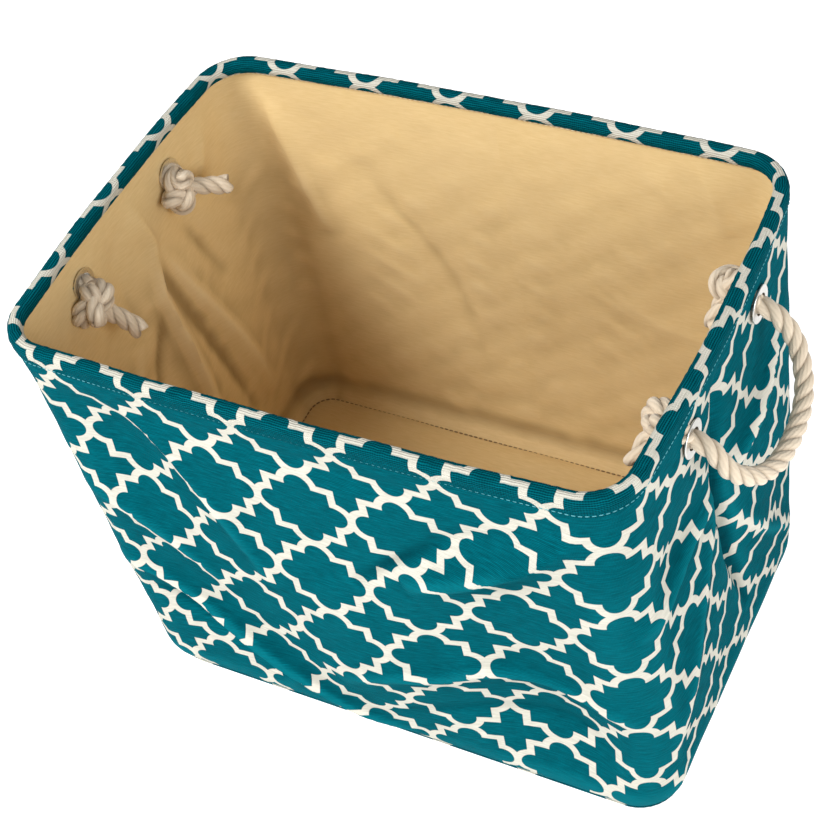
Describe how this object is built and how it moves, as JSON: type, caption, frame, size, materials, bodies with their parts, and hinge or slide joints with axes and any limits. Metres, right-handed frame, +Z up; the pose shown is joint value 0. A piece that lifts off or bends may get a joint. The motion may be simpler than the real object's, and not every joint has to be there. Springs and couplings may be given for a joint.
{
  "type": "fabric storage bin",
  "caption": "Tall rectangular open cloth bin with a smooth lining, a hooped rim that folds down, and a knotted rope handle at each end.",
  "frame": {"origin": "centre of the base's underside, on the surface that the bin stands on", "axes": "+X along the long side towards a rope handle, +Y across the bin, +Z up"},
  "size_m": [0.5434, 0.3134, 0.381],
  "materials": {
    "printed_cloth": "woven polyester, teal with an off-white lattice print",
    "lining": "smooth coated cloth",
    "board": "plain sheet",
    "steel": "drawn wire",
    "eyelet_metal": "plated",
    "rope": "twisted cotton",
    "hem_thread": "sewing thread",
    "lining_thread": "sewing thread"
  },
  "bodies": {
    "base": {"outer_base": "printed_cloth", "base_board": "board", "lining_base": "lining", "floor_thread": "lining_thread", "outer_wall": "printed_cloth", "lining_wall": "lining"},
    "rim": {"upper_wall": "printed_cloth", "upper_lining": "lining", "rim_hem": "printed_cloth", "rim_wire": "steel", "wire_sleeve": "steel", "hem_thread": "hem_thread", "lining_thread": "lining_thread", "eyelet_right_back": "eyelet_metal", "eyelet_right_front": "eyelet_metal", "eyelet_left_back": "eyelet_metal", "eyelet_left_front": "eyelet_metal", "washer_right_back": "eyelet_metal", "washer_right_front": "eyelet_metal", "washer_left_back": "eyelet_metal", "washer_left_front": "eyelet_metal", "knot_right_back": "rope", "knot_right_front": "rope", "knot_left_back": "rope", "knot_left_front": "rope"},
    "handle_right": {"rope_right": "rope"},
    "handle_left": {"rope_left": "rope"}
  },
  "joints": [
    {"name": "rim_collapse", "type": "slide", "parent": "base", "child": "rim", "axis": [0, 0, -1], "range_m": [0, 0.24], "deforming": ["outer_wall", "lining_wall"]},
    {"name": "handle_right_swing", "type": "hinge", "parent": "rim", "child": "handle_right", "pos_m": [0.2336, 0, 0.341], "axis": [0, -1, 0], "range_deg": [-32, 133]},
    {"name": "handle_left_swing", "type": "hinge", "parent": "rim", "child": "handle_left", "pos_m": [-0.2336, 0, 0.341], "axis": [0, 1, 0], "range_deg": [-32, 133]}
  ]
}
